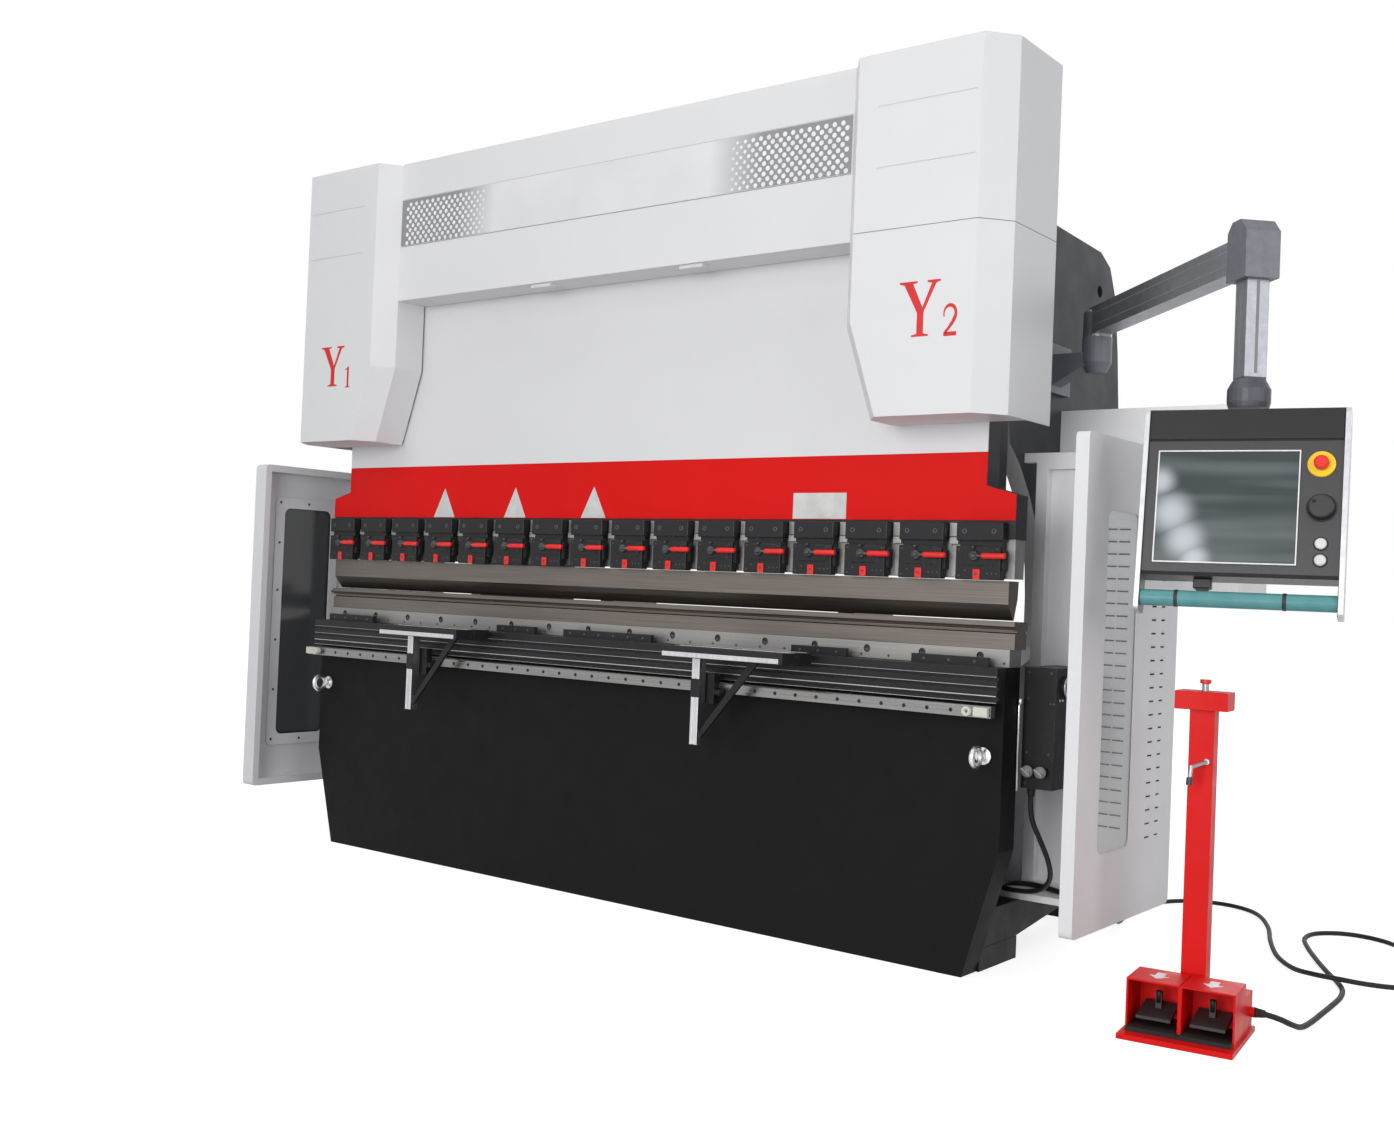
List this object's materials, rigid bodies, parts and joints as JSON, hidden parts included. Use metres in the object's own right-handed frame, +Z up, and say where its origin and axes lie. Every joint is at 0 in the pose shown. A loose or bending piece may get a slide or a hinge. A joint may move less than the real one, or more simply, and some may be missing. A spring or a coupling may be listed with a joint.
{
  "type": "press brake",
  "caption": "Press brake with a sliding ram on two cylinders, quick clamps, front supports, side doors, swing-arm pendant and a foot pedal stand.",
  "frame": {"origin": "on the floor under the middle of the bed plate", "axes": "+Z up, -Y towards the operator, +X to the right seen from the front"},
  "size_m": [4.5045, 1.9919, 2.81],
  "materials": {
    "frame_dark": "satin",
    "black": "matt",
    "white": "satin",
    "red": "gloss",
    "steel": "brushed",
    "bright": "brushed",
    "cast": "matt",
    "plastic": "matt",
    "yellow": "gloss",
    "grip": "matt",
    "glass": "clear",
    "screen": "gloss",
    "button": "gloss",
    "redplastic": "gloss",
    "cord": "matt"
  },
  "bodies": {
    "machine": {"frame_left": "frame_dark", "frame_right": "frame_dark", "ram_guide_left": "black", "ram_guide_right": "black", "front_bed": "black", "slot_table": "black", "guide_rail": "steel", "die_holder": "steel", "die": "steel", "eye_left": "steel", "eye_right": "steel", "oil_tank": "frame_dark", "cylinder_left": "frame_dark", "cylinder_right": "frame_dark", "cover_left": "white", "cover_right": "white", "beam_cover": "white", "enclosure_left": "white", "enclosure_right": "white", "cabinet_body": "white", "drive_box": "black", "arm_bracket": "cast", "stand_base": "red", "stand_column": "red", "pedal_mat": "cord", "pedal_cord": "cord"},
    "ram": {"ram_plate": "frame_dark", "ram_red_skin": "red", "ram_white_skin": "white", "clamp_beam": "steel", "clamp_bank": "black", "punch": "steel", "rod_left": "steel", "rod_right": "steel"},
    "gauge": {"gauge_beam": "frame_dark"},
    "finger_left": {"gauge_finger_left": "steel"},
    "finger_right": {"gauge_finger_right": "steel"},
    "carriage_left": {"carriage_left": "black"},
    "carriage_right": {"carriage_right": "black"},
    "support_left": {"arm_left": "bright"},
    "support_right": {"arm_right": "bright"},
    "door_left": {"door_left": "white", "pane_left": "glass"},
    "door_right": {"door_right": "white", "pane_right": "glass"},
    "cabinet_door": {"cabinet_door": "white"},
    "boom": {"boom": "bright", "drop_tube": "bright"},
    "pendant": {"pendant_box": "plastic", "pendant_screen": "screen", "pendant_grip": "grip", "estop_base": "yellow"},
    "estop": {"estop_head": "redplastic"},
    "speed_knob": {"speed_knob": "plastic"},
    "button_upper": {"button_upper": "button"},
    "button_lower": {"button_lower": "button"},
    "pedal_left": {"pedal_left": "black"},
    "pedal_right": {"pedal_right": "black"},
    "stand_button": {"stand_button": "redplastic"},
    "stand_crank": {"stand_crank": "steel"}
  },
  "joints": [
    {"name": "ram_stroke", "type": "slide", "parent": "machine", "child": "ram", "axis": [0, 0, 1], "range_m": [0, 0.2]},
    {"name": "gauge_depth", "type": "slide", "parent": "machine", "child": "gauge", "axis": [0, 1, 0], "range_m": [-0.2, 0.24]},
    {"name": "finger_left_shift", "type": "slide", "parent": "gauge", "child": "finger_left", "axis": [1, 0, 0], "range_m": [-0.5, 0.4]},
    {"name": "finger_right_shift", "type": "slide", "parent": "gauge", "child": "finger_right", "axis": [1, 0, 0], "range_m": [-0.4, 0.5]},
    {"name": "carriage_left_shift", "type": "slide", "parent": "machine", "child": "carriage_left", "axis": [1, 0, 0], "range_m": [-0.55, 0.45]},
    {"name": "carriage_right_shift", "type": "slide", "parent": "machine", "child": "carriage_right", "axis": [1, 0, 0], "range_m": [-0.4, 0.5]},
    {"name": "support_left_swing", "type": "hinge", "parent": "carriage_left", "child": "support_left", "pos_m": [-0.865, -0.218, 0.8], "axis": [0, 0, 1], "range_deg": [-90, 0]},
    {"name": "support_right_swing", "type": "hinge", "parent": "carriage_right", "child": "support_right", "pos_m": [0.553, -0.218, 0.8], "axis": [0, 0, 1], "range_deg": [-90, 0]},
    {"name": "door_left_swing", "type": "hinge", "parent": "machine", "child": "door_left", "pos_m": [-1.87, 0.52, 0.9], "axis": [0, 0, 1], "range_deg": [-100, 0]},
    {"name": "door_right_swing", "type": "hinge", "parent": "machine", "child": "door_right", "pos_m": [1.885, 0.52, 0.9], "axis": [0, 0, 1], "range_deg": [0, 10]},
    {"name": "cabinet_door_swing", "type": "hinge", "parent": "machine", "child": "cabinet_door", "pos_m": [2.0203, 1, 1.17], "axis": [0, 0, 1], "range_deg": [0, 110]},
    {"name": "boom_swing", "type": "hinge", "parent": "machine", "child": "boom", "pos_m": [1.56, 0.611, 2.1], "axis": [0, 0, 1], "range_deg": [-4, 60]},
    {"name": "pendant_swivel", "type": "hinge", "parent": "boom", "child": "pendant", "pos_m": [2.306, -0.146, 1.672], "axis": [0, 0, 1], "range_deg": [-90, 90]},
    {"name": "estop_press", "type": "slide", "parent": "pendant", "child": "estop", "axis": [-0.1947, 0.9654, -0.1736], "range_m": [0, 0.004], "stiffness_N_per_m": 600, "springref_m": -0.004},
    {"name": "speed_turn", "type": "hinge", "parent": "pendant", "child": "speed_knob", "pos_m": [2.51627, -0.20734, 1.41374], "axis": [0.1947, -0.9654, 0.1736], "range_deg": [-150, 150]},
    {"name": "button_upper_press", "type": "slide", "parent": "pendant", "child": "button_upper", "axis": [-0.1947, 0.9654, -0.1736], "range_m": [0, 0.003], "stiffness_N_per_m": 300, "springref_m": -0.003},
    {"name": "button_lower_press", "type": "slide", "parent": "pendant", "child": "button_lower", "axis": [-0.1947, 0.9654, -0.1736], "range_m": [0, 0.003], "stiffness_N_per_m": 300, "springref_m": -0.003},
    {"name": "pedal_left_press", "type": "hinge", "parent": "machine", "child": "pedal_left", "pos_m": [2.13029, -0.13873, 0.0663], "axis": [0.9925, 0.1219, 0], "range_deg": [0, 6], "stiffness_Nm_per_rad": 8, "springref_deg": -8.59},
    {"name": "pedal_right_press", "type": "hinge", "parent": "machine", "child": "pedal_right", "pos_m": [2.26925, -0.12167, 0.0663], "axis": [0.9925, 0.1219, 0], "range_deg": [0, 6], "stiffness_Nm_per_rad": 8, "springref_deg": -8.59},
    {"name": "stand_button_press", "type": "slide", "parent": "machine", "child": "stand_button", "axis": [0, 0, -1], "range_m": [0, 0.008], "stiffness_N_per_m": 500, "springref_m": -0.004},
    {"name": "stand_crank_turn", "type": "hinge", "parent": "machine", "child": "stand_crank", "pos_m": [2.20897, -0.08202, 0.728], "axis": [-0.1219, 0.9925, 0], "range_deg": [-45, 45]}
  ]
}
